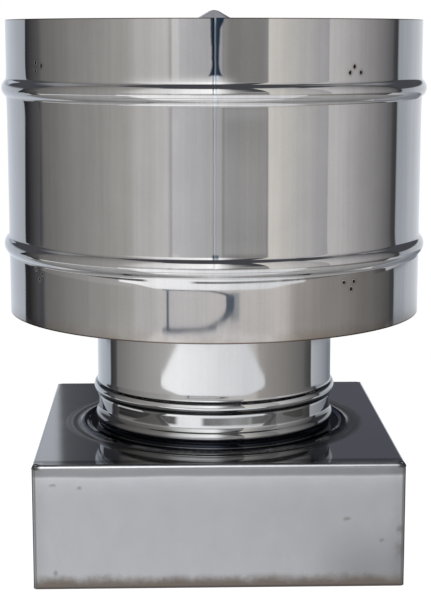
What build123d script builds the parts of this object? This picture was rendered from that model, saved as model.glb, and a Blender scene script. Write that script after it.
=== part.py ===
from build123d import *
import os
from math import atan, cos, degrees, pi, radians, sin, tan
from typing import NamedTuple

# Wind-proof chimney cowl of thin stainless sheet: a folded square base, a round neck and an open
# drum that holds a double-cone hat on eight bent strips. Millimetres, +Z up. The origin is the
# centre of the base's open underside, the front faces -Y.

# Sheet and fits
SHEET = 0.8            # every rolled or folded sheet
STRIP = 1.5            # the bracket strips are thicker
NEST_FIT = 0.1         # between sheets that are rolled or folded over each other
WALL_FIT = 0.05        # between a bracket's tab and the curved wall that it is welded to

# Square base
BASE_W = 300.0         # outside width
BASE_H = 103.0         # top face of the plate above the skirts' lower edges
BASE_BEND_R = 3.0      # outer radius of the fold round the plate
CORNER_BEND_R = 2.0    # outer radius of the upright corner folds
SKIRT_SETBACK = 1.8    # the front and back skirts end this far inside the sides
TAB_W = 20.0           # tab of a side skirt behind the front or back skirt
MITRE_GAP = 0.8        # slit between two folds at a corner
RELIEF_D = 4.0         # round relief at the inner end of that slit
RIB_GAP = 6.2          # flat plate between the hole and the pressed rib round it

# Collar and neck
FLUE_D = 200.0         # nominal flue diameter
FLUE_PLAY = 1.0        # radial room between the flue pipe and the collar
LIP_W = 9.0            # lip of the collar under the base plate
LIP_BEND_R = 0.8       # inside radius of that lip's fold
HOLE_FIT = 0.2         # plate hole outside the lip's fold
BEAD_LIFT = 0.4        # plain wall between the plate and the collar's bead
COLLAR_SHOW = 9.3      # plain collar between its bead and the neck's lower edge
NECK_TAIL = 1.0        # plain edge of the neck below the bead that locks it on the collar
COLLAR_LAP = 13.0      # collar above the middle of that bead
MOUTH_RISE = 34.0      # neck above the legs of the lower brackets

# Drum
DRUM_D = 355.0         # outside diameter between the beads
DRUM_H = 247.5
DRUM_GAP = 103.0       # from the base's plate to the drum's lower edge
LOWER_BEAD_UP = 58.5   # middle of the lower bead above the lower edge
UPPER_BEAD_DOWN = 56.5   # middle of the upper bead below the upper edge

# Rolled beads and the pressed rib: how far each stands out, and half its width
DRUM_BEAD_H = 4.3
DRUM_BEAD_HALF = 9.0
LOCK_BEAD_H = 3.3
LOCK_BEAD_HALF = 8.0
FOOT_BEAD_H = 3.0
FOOT_BEAD_HALF = 8.4
PLATE_RIB_H = 2.0
PLATE_RIB_HALF = 6.0

# Lengthwise weld seams, where the wall is a little thinner
SEAM_W = 1.6
SEAM_DEPTH = 0.15
DRUM_SEAM_TURN = -1.3  # degrees from the front towards +X
NECK_SEAM_TURN = 180.0

# Double-cone hat
HAT_DROP = 18.0        # flange of the upper cone below the legs of the upper brackets
HAT_SLOPE = 30.0       # degrees below level
HAT_CONE_R = 129.0     # radius where the upper cone meets its flat flange
HAT_FLANGE_W = 5.0
COUNTER_SLOPE = 27.0   # the same for the lower cone
TIP_R = 10.0           # outside radius of both tips
HEM_W = 3.0            # the lower flange is folded back over the upper one by this much

# Brackets
BRACKET_COUNT = 4
BRACKET_TURN = 36.0    # first bracket, in degrees from the front towards +X
BRACKET_W = 20.0
BRACKET_BEND_R = 1.5   # inside radius
WALL_TAB = 19.0        # height of a tab on the drum or on the neck
CONE_TAB = 22.0        # length of an upper bracket's tab along the cone
BEAD_CLEAR = 1.0       # from a drum bead's foot to the bracket beside it


class Bead(NamedTuple):
    """Ridge rolled or pressed into a sheet: a crown between two feet, all tangent arcs."""
    height: float
    half: float
    crown: float       # share of half the ridge that the crown's arc takes, the foot has the rest


DRUM_BEAD = Bead(DRUM_BEAD_H, DRUM_BEAD_HALF, crown=0.7)
LOCK_BEAD = Bead(LOCK_BEAD_H, LOCK_BEAD_HALF, crown=0.68)
FOOT_BEAD = Bead(FOOT_BEAD_H, FOOT_BEAD_HALF, crown=0.5)
PLATE_RIB = Bead(PLATE_RIB_H, PLATE_RIB_HALF, crown=0.5)

# Sizes that follow from the ones above
BASE_HALF = BASE_W / 2
PLATE_UNDER = BASE_H - SHEET
COLLAR_R = FLUE_D / 2 + FLUE_PLAY + SHEET
NECK_R = COLLAR_R + NEST_FIT + SHEET
HOLE_R = COLLAR_R + LIP_BEND_R + HOLE_FIT
RIB_INNER_R = HOLE_R + RIB_GAP
FOOT_BEAD_Z = BASE_H + BEAD_LIFT + FOOT_BEAD.half
NECK_BOTTOM = FOOT_BEAD_Z + FOOT_BEAD.half + COLLAR_SHOW
LOCK_BEAD_Z = NECK_BOTTOM + NECK_TAIL + LOCK_BEAD.half
DRUM_R = DRUM_D / 2
DRUM_INNER_R = DRUM_R - SHEET
DRUM_BOTTOM = BASE_H + DRUM_GAP
DRUM_TOP = DRUM_BOTTOM + DRUM_H
LOWER_BEAD_Z = DRUM_BOTTOM + LOWER_BEAD_UP
UPPER_BEAD_Z = DRUM_TOP - UPPER_BEAD_DOWN
LOWER_LEG_Z = LOWER_BEAD_Z - DRUM_BEAD.half - BEAD_CLEAR
UPPER_LEG_Z = UPPER_BEAD_Z + DRUM_BEAD.half + BEAD_CLEAR
NECK_TOP = LOWER_LEG_Z + MOUTH_RISE
HAT_FLANGE_R = HAT_CONE_R + HAT_FLANGE_W
HAT_RIM_Z = UPPER_LEG_Z - HAT_DROP
COUNTER_RIM_Z = HAT_RIM_Z - 2 * SHEET


def bump(start, along, out, bead, inset):
    """Three tangent arcs of a rolled bead, from its foot at start. The sheet's outer face has inset 0
    and its inner face an inset of the sheet. Along and out are unit vectors in the section."""
    height, half, crown = bead
    turn = 2 * atan(height / half)
    crown_r = crown * half / sin(turn)
    foot_r = (1 - crown) * half / sin(turn)

    def place(run, rise):
        x = start[0] + along[0] * run + out[0] * rise
        z = start[1] + along[1] * run + out[1] * rise
        return (x, z)

    def on_foot(side, angle):
        centre_run = half - side * half
        reach = foot_r + inset
        return place(centre_run + side * reach * sin(angle), foot_r - reach * cos(angle))

    def on_crown(angle):
        reach = crown_r - inset
        return place(half + reach * sin(angle), height - crown_r + reach * cos(angle))

    rising = ThreePointArc(on_foot(1, 0), on_foot(1, turn / 2), on_foot(1, turn))
    over = ThreePointArc(on_crown(-turn), on_crown(0), on_crown(turn))
    falling = ThreePointArc(on_foot(-1, turn), on_foot(-1, turn / 2), on_foot(-1, 0))
    return [rising, over, falling]


def beaded_line(r, z_low, z_high, beads, inset):
    """Edges of an upright beaded wall, from its low end to its high end. Beads are (z, bead) pairs."""
    edges = []
    z = z_low
    for bead_z, bead in sorted(beads):
        foot_z = bead_z - bead.half
        edges.append(Line((r - inset, z), (r - inset, foot_z)))
        edges += bump((r, foot_z), (0, 1), (1, 0), bead, inset)
        z = bead_z + bead.half
    edges.append(Line((r - inset, z), (r - inset, z_high)))
    return edges


def section_between(outer_edges, inner_edges):
    """Closed face between two runs of edges that start at the same end of a sheet."""
    outer = Wire(outer_edges)
    inner = Wire(inner_edges)
    start_cap = Line(inner @ 0, outer @ 0)
    end_cap = Line(outer @ 1, inner @ 1)
    return Face(Wire(outer_edges + [end_cap] + inner_edges + [start_cap]))


def revolved(section, arc=360.0):
    """Turn a section, drawn with radius as X and height as Y, round the upright axis."""
    return revolve(Plane.XZ * section, Axis.Z, revolution_arc=arc)


def ribbon(points, wall, bend):
    """Section of a bent strip: its face follows the points, its wall lies on their left side."""
    runs = [Vector(*b) - Vector(*a) for a, b in zip(points, points[1:])]
    normals = [Vector(-run.Y, run.X).normalized() for run in runs]
    shifted = [Vector(*points[0]) + normals[0] * wall]
    face_radii = []
    wall_radii = []
    for corner, before, after in zip(points[1:-1], normals, normals[1:]):
        both = before + after
        shifted.append(Vector(*corner) + both * (2 * wall / both.dot(both)))
        left_turn = before.cross(after).Z > 0
        face_radii.append(bend + wall if left_turn else bend)
        wall_radii.append(bend if left_turn else bend + wall)
    shifted.append(Vector(*points[-1]) + normals[-1] * wall)
    face_line = FilletPolyline(*points, radius=face_radii)
    wall_line = FilletPolyline(*[(v.X, v.Y) for v in shifted], radius=wall_radii)
    return section_between(list(face_line.edges()), list(wall_line.edges()))


def beaded_tube(r, z_low, z_high, beads, seam_turn):
    """Rolled tube of one sheet, closed by the narrow strip of its weld. Turn 0 is the front."""
    def wall(outer_inset, start, arc):
        outer = beaded_line(r, z_low, z_high, beads, outer_inset)
        inner = beaded_line(r, z_low, z_high, beads, SHEET)
        return Rot(0, 0, start) * revolved(section_between(outer, inner), arc)

    weld_arc = degrees(SEAM_W / r)
    weld_start = seam_turn - 90 - weld_arc / 2
    weld = wall(SEAM_DEPTH, weld_start, weld_arc)
    sheet = wall(0, weld_start + weld_arc, 360 - weld_arc)
    return sheet + weld


def tray(width, height, bend):
    """Solid block with its four upper edges rounded."""
    block = Pos(0, 0, height / 2) * Box(width, width, height)
    return fillet(block.edges().group_by(Axis.Z)[-1], bend)


def corner_fold():
    """Upright fold of a side skirt at the +X +Y corner, with its tab behind the back skirt."""
    tab_y = BASE_HALF - SHEET - NEST_FIT
    start_y = tab_y - CORNER_BEND_R - SKIRT_SETBACK
    path = [(BASE_HALF, start_y), (BASE_HALF, tab_y), (BASE_HALF - TAB_W, tab_y)]
    return extrude(ribbon(path, SHEET, CORNER_BEND_R - SHEET), BASE_H - BASE_BEND_R)


def corner_gap():
    """What is missing at the +X +Y corner: the column between the skirts, and the mitred slit with
    its round relief."""
    column_x = SKIRT_SETBACK
    column_y = SHEET + NEST_FIT + CORNER_BEND_R
    column_h = BASE_H - BASE_BEND_R
    column = Box(column_x, column_y, column_h, align=(Align.MAX, Align.MAX, Align.MIN))
    gap = Pos(BASE_HALF, BASE_HALF, 0) * column
    fold_start = BASE_HALF - BASE_BEND_R
    slit_l = 2 * BASE_BEND_R
    slit = Box(slit_l, MITRE_GAP, BASE_BEND_R, align=(Align.MIN, Align.CENTER, Align.MIN))
    gap += Pos(fold_start, fold_start, column_h) * Rot(0, 0, 45) * slit
    relief = Cylinder(RELIEF_D / 2, BASE_BEND_R, align=(Align.CENTER, Align.CENTER, Align.MIN))
    return gap + Pos(fold_start, fold_start, column_h) * relief


def ribbed_ring():
    """Middle of the base plate, from its hole to the outer foot of the pressed rib."""
    def line(inset):
        z = BASE_H - inset
        flat = Line((HOLE_R, z), (RIB_INNER_R, z))
        return [flat] + bump((RIB_INNER_R, BASE_H), (1, 0), (0, 1), PLATE_RIB, inset)

    return revolved(section_between(line(0), line(SHEET)))


def base_box():
    """Folded sheet: plate, four skirts, corner tabs, and the ribbed hole for the collar."""
    box = tray(BASE_W, BASE_H, BASE_BEND_R)
    box -= tray(BASE_W - 2 * SHEET, BASE_H - SHEET, BASE_BEND_R - SHEET)
    for turn in (Rot(0, 0, 0), Rot(0, 0, 180)):
        for flip in (False, True):
            gap = corner_gap()
            fold = corner_fold()
            if flip:
                gap = mirror(gap, Plane.YZ)
                fold = mirror(fold, Plane.YZ)
            box -= turn * gap
            box += turn * fold
    rib_outer_r = RIB_INNER_R + 2 * PLATE_RIB.half
    box -= Pos(0, 0, BASE_H) * Cylinder(rib_outer_r, 2 * BASE_BEND_R)
    return box + ribbed_ring()


def base_collar():
    """Collar: lip under the plate, bead above it, and an upper end that nests in the neck's bead."""
    lap_top = LOCK_BEAD_Z + COLLAR_LAP
    lock_foot_z = LOCK_BEAD_Z - LOCK_BEAD.half
    nest = SHEET + NEST_FIT

    def line(inset):
        lip_z = PLATE_UNDER - inset
        bend_r = LIP_BEND_R + inset
        centre = (COLLAR_R + LIP_BEND_R, PLATE_UNDER + LIP_BEND_R)
        low = (centre[0], lip_z)
        middle = (centre[0] - bend_r * cos(pi / 4), centre[1] - bend_r * sin(pi / 4))
        high = (COLLAR_R - inset, centre[1])
        edges = [Line((COLLAR_R + LIP_W, lip_z), low), ThreePointArc(low, middle, high)]
        edges += beaded_line(COLLAR_R, centre[1], lock_foot_z, [(FOOT_BEAD_Z, FOOT_BEAD)], inset)
        edges += bump((NECK_R, lock_foot_z), (0, 1), (1, 0), LOCK_BEAD, inset + nest)
        top_r = COLLAR_R - inset
        return edges + [Line((top_r, LOCK_BEAD_Z + LOCK_BEAD.half), (top_r, lap_top))]

    return revolved(section_between(line(0), line(SHEET)))


def tip_cut(slope):
    """How far a cone's rounded tip stays below its sharp point."""
    return TIP_R / cos(radians(slope)) - TIP_R


def cone_height(r):
    """Height of the upper cone's outer face at radius r, as if its tip were sharp."""
    return HAT_RIM_Z + (HAT_CONE_R - r) * tan(radians(HAT_SLOPE))


def cone_line(slope, rim_z, up, inset):
    """Edges of one face of a cone, from the tip on the axis to the rim. Up is 1 for a cone with its
    tip on top and -1 for one with its tip below."""
    angle = radians(slope)
    tip_r = TIP_R - inset
    apex_z = rim_z + up * (HAT_CONE_R * tan(angle) - tip_cut(slope))
    centre_z = apex_z - up * TIP_R

    def on_tip(part):
        return (tip_r * sin(angle * part), centre_z + up * tip_r * cos(angle * part))

    rim = (HAT_CONE_R - inset * tan(angle / 2), rim_z - up * inset)
    return [ThreePointArc(on_tip(0), on_tip(0.5), on_tip(1)), Line(on_tip(1), rim)]


def along(start, corners):
    """Straight edges from a start point through each corner in turn."""
    points = [start] + corners
    return [Line(a, b) for a, b in zip(points, corners)]


def hat_upper_cone():
    """Upper cone with its rounded tip and flat flange."""
    def line(inset):
        edges = cone_line(HAT_SLOPE, HAT_RIM_Z, 1, inset)
        return edges + along(edges[-1] @ 1, [(HAT_FLANGE_R, HAT_RIM_Z - inset)])

    return revolved(section_between(line(0), line(SHEET)))


def hat_lower_cone():
    """Lower cone with its flange under the upper one, hemmed up and back over it."""
    hem_r = HAT_FLANGE_R + NEST_FIT + SHEET
    hem_z = HAT_RIM_Z + NEST_FIT + SHEET

    def line(inset):
        outer_r = hem_r - inset
        low_z = COUNTER_RIM_Z + inset
        top_z = hem_z - inset
        edges = cone_line(COUNTER_SLOPE, COUNTER_RIM_Z, -1, inset)
        hem = [(outer_r, low_z), (outer_r, top_z), (HAT_FLANGE_R - HEM_W, top_z)]
        return edges + along(edges[-1] @ 1, hem)

    return revolved(section_between(line(0), line(SHEET)))


def strip_from(section):
    """Strip of the bracket width cut from a turned section, pointing to the front."""
    window = Box(BRACKET_W, DRUM_R, DRUM_TOP, align=(Align.CENTER, Align.MAX, Align.MIN))
    return revolved(section) & window


def upper_bracket():
    """Strip from the drum above its upper bead to the top of the hat."""
    wall_r = DRUM_INNER_R - WALL_FIT
    angle = radians(HAT_SLOPE)
    meet_r = (cone_height(0) + WALL_FIT / cos(angle) - UPPER_LEG_Z) / tan(angle)
    tab_end = (meet_r - CONE_TAB * cos(angle), UPPER_LEG_Z + CONE_TAB * sin(angle))
    path = [tab_end, (meet_r, UPPER_LEG_Z), (wall_r, UPPER_LEG_Z), (wall_r, UPPER_LEG_Z + WALL_TAB)]
    return strip_from(ribbon(path, STRIP, BRACKET_BEND_R))


def lower_bracket():
    """Strip from the drum below its lower bead to the neck, with both tabs down."""
    drum_r = DRUM_INNER_R - WALL_FIT
    neck_r = NECK_R + WALL_FIT
    low_z = LOWER_LEG_Z - WALL_TAB
    path = [(drum_r, low_z), (drum_r, LOWER_LEG_Z), (neck_r, LOWER_LEG_Z), (neck_r, low_z)]
    return strip_from(ribbon(path, STRIP, BRACKET_BEND_R))


def build_pieces():
    """All pieces by name, each in its place."""
    drum_beads = [(LOWER_BEAD_Z, DRUM_BEAD), (UPPER_BEAD_Z, DRUM_BEAD)]
    neck_beads = [(LOCK_BEAD_Z, LOCK_BEAD)]
    pieces = {
        "base_box": base_box(),
        "base_collar": base_collar(),
        "neck_tube": beaded_tube(NECK_R, NECK_BOTTOM, NECK_TOP, neck_beads, NECK_SEAM_TURN),
        "drum_shell": beaded_tube(DRUM_R, DRUM_BOTTOM, DRUM_TOP, drum_beads, DRUM_SEAM_TURN),
        "hat_upper_cone": hat_upper_cone(),
        "hat_lower_cone": hat_lower_cone(),
    }
    upper = upper_bracket()
    lower = lower_bracket()
    for number in range(BRACKET_COUNT):
        turn = Rot(0, 0, BRACKET_TURN + number * 360 / BRACKET_COUNT)
        pieces[f"upper_bracket_{number + 1}"] = turn * upper
        pieces[f"lower_bracket_{number + 1}"] = turn * lower
    return pieces


os.makedirs("parts", exist_ok=True)
for name, shape in build_pieces().items():
    export_step(shape, f"parts/{name}.step")
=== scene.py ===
from math import atan, cos, exp, pi, radians, sin, tan

import bmesh
import bpy
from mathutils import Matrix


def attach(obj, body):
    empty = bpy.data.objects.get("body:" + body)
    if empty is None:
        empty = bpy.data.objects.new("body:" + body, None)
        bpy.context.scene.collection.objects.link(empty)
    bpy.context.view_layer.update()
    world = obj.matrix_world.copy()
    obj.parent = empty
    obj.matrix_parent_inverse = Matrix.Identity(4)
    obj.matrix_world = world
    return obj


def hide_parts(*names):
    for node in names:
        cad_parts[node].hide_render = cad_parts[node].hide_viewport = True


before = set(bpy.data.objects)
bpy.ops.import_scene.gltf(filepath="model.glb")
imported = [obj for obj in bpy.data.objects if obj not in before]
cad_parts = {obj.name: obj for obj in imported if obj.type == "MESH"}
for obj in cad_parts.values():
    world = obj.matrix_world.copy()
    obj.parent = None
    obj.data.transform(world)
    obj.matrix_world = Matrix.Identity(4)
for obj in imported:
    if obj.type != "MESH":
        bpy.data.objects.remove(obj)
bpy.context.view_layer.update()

# Wind-proof chimney cowl in polished stainless sheet. Metres, +Z up, the front faces -Y.

MM = 0.001

# Sheet
SHEET = 0.8 * MM
STRIP = 1.5 * MM
NEST_FIT = 0.1 * MM
WALL_FIT = 0.05 * MM

# Square base
BASE_HALF = 150 * MM
BASE_TOP = 103 * MM

# Collar and neck
COLLAR_R = 101.8 * MM
NECK_R = 102.7 * MM
LIP_R = 110.8 * MM
LIP_BEND_R = 0.8 * MM
FOOT_BEAD_Z = 111.8 * MM
FOOT_SHADE_Z = 119.8 * MM   # the foot bead gets painted shade up to here
LOCK_BEAD_Z = 137.3 * MM
COLLAR_TOP = 151.5 * MM
NECK_BOTTOM = 129.5 * MM
NECK_TOP = 288.5 * MM
NECK_SEAM_TURN = 180.0     # degrees from the front, at the back
NECK_CREASE = 0.2 * MM
COLLAR_SEAM_TURN = 200.0

# Drum
DRUM_R = 177.5 * MM
DRUM_BOTTOM = 206 * MM
DRUM_TOP = 453.5 * MM
UPPER_BEAD_Z = 397 * MM
LOWER_BEAD_Z = 264.5 * MM
SEAM_TURN = -1.3         # degrees from the front
SEAM_CREASE = 0.06 * MM
SEAM_GROOVE = 0.06 * MM

# The wall swells out gently where a bead is rolled in: how far, and over what half width
DRUM_SWELL = (0.55 * MM, 10 * MM)
LOCK_SWELL = (0.3 * MM, 8 * MM)

# Rolled beads: how far each stands out, half its width, and the crown's share of that half
DRUM_BEAD = (4.24 * MM - DRUM_SWELL[0], 9.0 * MM, 0.7)
LOCK_BEAD = (3.3 * MM - LOCK_SWELL[0], 6.6 * MM, 0.68)
FOOT_BEAD = (3.0 * MM, 8.4 * MM, 0.5)

# Double-cone hat
HAT_SLOPE = radians(30)
COUNTER_SLOPE = radians(27)
HAT_RIM_Z = 389 * MM
HAT_CONE_R = 129 * MM
HAT_FLANGE_R = 134 * MM
TIP_R = 10.01 * MM
HEM_W = 3 * MM

# Brackets and their spot welds
BRACKET_TURN = 36.0
BRACKET_W = 20 * MM
BRACKET_BEND_R = 1.5 * MM
BRACKET_EDGE_R = 0.15 * MM
BRACKET_STEPS = 8
UPPER_LEG_Z = 407 * MM
LOWER_LEG_Z = 254.5 * MM
WALL_TAB = 19 * MM
CONE_TAB = 22 * MM

# Fineness of the turned pieces
ROUND_STEPS = 272
SEAM_FINENESS = 0.12   # steps at the weld seam, as a share of the mean step
BEAD_STEPS = 12
WALL_STEP = 4 * MM
BEND_STEPS = 8
LIP_STEPS = 6
SHARP_EDGE = radians(38)

# Unevenness of rolled walls: waves per metre, their stretch up the wall, and the radius it starts from
UNEVEN_SCALE = 14.0
UNEVEN_STRETCH = 0.15
UNEVEN_FROM = 60 * MM
DRUM_UNEVENNESS = 0.15 * MM
NECK_UNEVENNESS = 0.15 * MM
HAT_UNEVENNESS = 0.1 * MM


# Node trees, written as sums

class Rule:
    """A number in a node tree, so that a rule for a shape or a finish reads as a sum."""

    def __init__(self, tree, socket):
        self.tree = tree
        self.socket = socket

    def _do(self, operation, *others):
        return self.tree.math(operation, self, *others)

    def __add__(self, other):
        return self._do("ADD", other)

    def __sub__(self, other):
        return self._do("SUBTRACT", other)

    def __rsub__(self, other):
        return self.tree.math("SUBTRACT", other, self)

    def __mul__(self, other):
        return self._do("MULTIPLY", other)

    def __truediv__(self, other):
        return self._do("DIVIDE", other)

    def __pow__(self, other):
        return self._do("POWER", other)

    __radd__ = __add__
    __rmul__ = __mul__


class Tree:
    """A node tree of either kind, with short calls for its nodes."""

    def __init__(self, nodes_tree):
        self.tree = nodes_tree
        self.maths = "ShaderNodeMath"

    def node(self, kind, settings=None, **inputs):
        made = self.tree.nodes.new(kind)
        for name, value in (settings or {}).items():
            setattr(made, name, value)
        for name, value in inputs.items():
            self.feed(made, name.replace("_", " "), value)
        return made

    def feed(self, node, name, value):
        socket = node.inputs[name]
        self.join(socket, value)

    def join(self, socket, value):
        if isinstance(value, Rule):
            self.tree.links.new(value.socket, socket)
        elif isinstance(value, bpy.types.NodeSocket):
            self.tree.links.new(value, socket)
        else:
            socket.default_value = value

    def rule(self, socket):
        return Rule(self, socket)

    def rules(self, node, *labels):
        """Outputs of a node by their labels, as rules."""
        return [Rule(self, node.outputs[label]) for label in labels]

    def size(self, value):
        """A value without its sign."""
        return self.math("ABSOLUTE", value)

    def larger(self, first, second):
        return self.math("MAXIMUM", first, second)

    def smaller(self, first, second):
        return self.math("MINIMUM", first, second)

    def math(self, operation, *values):
        made = self.tree.nodes.new(self.maths)
        made.operation = operation
        for socket, value in zip(made.inputs, values):
            self.join(socket, value)
        return Rule(self, made.outputs[0])

    def step(self, value, low, high):
        """0 below low, 1 above high, smooth between."""
        made = self.node("ShaderNodeMapRange", {"interpolation_type": "SMOOTHSTEP"})
        for name, number in (("Value", value), ("From Min", low), ("From Max", high)):
            self.feed(made, name, number)
        return Rule(self, made.outputs[0])

    def within(self, value, full, end):
        """1 up to full, 0 from end on, smooth between."""
        return 1 - self.step(value, full, end)

    def band(self, value, middle, half, soft):
        """1 within half of the middle, 0 outside, with soft edges."""
        away = self.size(value - middle)
        return self.within(away, half - soft, half + soft)

    def blend(self, mask, below, above):
        """Colour below where the mask is 0 and above where it is 1."""
        made = self.tree.nodes.new("ShaderNodeMix")
        made.data_type = "RGBA"
        self.join(made.inputs[0], mask)
        self.join(made.inputs[6], below)
        self.join(made.inputs[7], above)
        return made.outputs[2]


# Kinds of sockets
NUMBER = "NodeSocketFloat"
VECTOR = "NodeSocketVector"
COLOUR = "NodeSocketColor"
SHAPE = "NodeSocketGeometry"
MATERIAL = "NodeSocketMaterial"


def emptied(owner):
    """The node tree of a material or world, without its nodes."""
    owner.use_nodes = True
    owner.node_tree.nodes.clear()
    return Tree(owner.node_tree)


def new_group(name, kind, inputs, outputs):
    """An empty node group with its named inputs and outputs. Returns the tree and its two ends."""
    group = bpy.data.node_groups.new(name, kind)
    for label, socket, default in inputs:
        made = group.interface.new_socket(name=label, in_out="INPUT", socket_type=socket)
        if default is not None:
            made.default_value = default
    for label, socket in outputs:
        group.interface.new_socket(name=label, in_out="OUTPUT", socket_type=socket)
    tree = Tree(group)
    return tree, group.nodes.new("NodeGroupInput"), group.nodes.new("NodeGroupOutput")


# Sections of the turned pieces

def bead_points(r, z, bead, inset):
    """Points over a rolled bead, upwards. Each face of the sheet has its own inset."""
    height, half, share = bead
    turn = 2 * atan(height / half)
    crown_r = share * half / sin(turn)
    foot_r = (1 - share) * half / sin(turn)
    points = []
    for step in range(BEAD_STEPS + 1):
        angle = turn * step / BEAD_STEPS
        reach = foot_r + inset
        points.append((r + foot_r - reach * cos(angle), z - half + reach * sin(angle)))
    for step in range(1, 2 * BEAD_STEPS):
        angle = turn * (step / BEAD_STEPS - 1)
        reach = crown_r - inset
        points.append((r + height - crown_r + reach * cos(angle), z + reach * sin(angle)))
    for step in range(BEAD_STEPS, -1, -1):
        angle = turn * step / BEAD_STEPS
        reach = foot_r + inset
        points.append((r + foot_r - reach * cos(angle), z + half - reach * sin(angle)))
    return points


def along(start, end):
    """Points from start up to end, without the end."""
    length = ((end[0] - start[0]) ** 2 + (end[1] - start[1]) ** 2) ** 0.5
    count = max(1, round(length / WALL_STEP))
    return [(start[0] + (end[0] - start[0]) * i / count, start[1] + (end[1] - start[1]) * i / count)
            for i in range(count)]


def wall_points(r, low, high, beads, inset):
    """Points up one face of a beaded tube. Beads are (z, bead) pairs, lowest first."""
    points = []
    z = low
    for bead_z, bead in beads:
        points += along((r - inset, z), (r - inset, bead_z - bead[1]))
        points += bead_points(r, bead_z, bead, inset)[:-1]
        z = bead_z + bead[1]
    points += along((r - inset, z), (r - inset, high))
    points.append((r - inset, high))
    return points


def swelled(points, heights, swell):
    """The same points, moved out by the swell round each bead height."""
    rise, half = swell
    return [(x + sum(rise * exp(-((z - bead_z) / half) ** 2) for bead_z in heights), z)
            for x, z in points]


def tube_section(r, low, high, beads, swell):
    """Closed outline of a beaded tube's sheet."""
    outer = wall_points(r, low, high, beads, 0)
    inner = wall_points(r, low, high, beads, SHEET)
    return swelled(outer + inner[::-1], [place[0] for place in beads], swell)


def collar_section():
    """Closed outline of the collar: lip, foot bead, and the bead that nests in the neck's."""
    nest = SHEET + NEST_FIT

    def face(inset):
        bend_z = BASE_TOP - SHEET + LIP_BEND_R
        bend_x = COLLAR_R + LIP_BEND_R
        reach = LIP_BEND_R + inset
        points = along((LIP_R, bend_z - reach), (bend_x, bend_z - reach))
        for step in range(LIP_STEPS + 1):
            angle = pi / 2 * step / LIP_STEPS
            points.append((bend_x - reach * sin(angle), bend_z - reach * cos(angle)))
        lock_foot = LOCK_BEAD_Z - LOCK_BEAD[1]
        points += wall_points(COLLAR_R, bend_z, lock_foot, [(FOOT_BEAD_Z, FOOT_BEAD)], inset)[1:-1]
        points += bead_points(NECK_R, LOCK_BEAD_Z, LOCK_BEAD, inset + nest)
        points.append((COLLAR_R - inset, COLLAR_TOP))
        return points

    return face(0) + face(SHEET)[::-1]


def cone_points(slope, rim_z, up, inset):
    """Points down one face of a cone from the axis: its rounded tip, then to the rim."""
    tip_r = TIP_R - inset
    apex_z = rim_z + up * (HAT_CONE_R * tan(slope) - TIP_R / cos(slope) + TIP_R)
    centre_z = apex_z - up * TIP_R
    points = []
    for step in range(BEND_STEPS + 1):
        angle = slope * step / BEND_STEPS
        points.append((tip_r * sin(angle), centre_z + up * tip_r * cos(angle)))
    rim = (HAT_CONE_R - inset * tan(slope / 2), rim_z - up * inset)
    return points[:-1] + along(points[-1], rim) + [rim]


def upper_cone_section():
    top = cone_points(HAT_SLOPE, HAT_RIM_Z, 1, 0) + [(HAT_FLANGE_R, HAT_RIM_Z)]
    under = cone_points(HAT_SLOPE, HAT_RIM_Z, 1, SHEET) + [(HAT_FLANGE_R, HAT_RIM_Z - SHEET)]
    return top + under[::-1]


def lower_cone_section():
    rim_z = HAT_RIM_Z - 2 * SHEET
    hem_r = HAT_FLANGE_R + NEST_FIT + SHEET
    hem_z = HAT_RIM_Z + NEST_FIT + SHEET

    def face(inset):
        hem = [(hem_r - inset, rim_z + inset), (hem_r - inset, hem_z - inset),
               (HAT_FLANGE_R - HEM_W, hem_z - inset)]
        return cone_points(COUNTER_SLOPE, rim_z, -1, inset) + hem

    return face(0) + face(SHEET)[::-1]


# Shapes from rules

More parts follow.
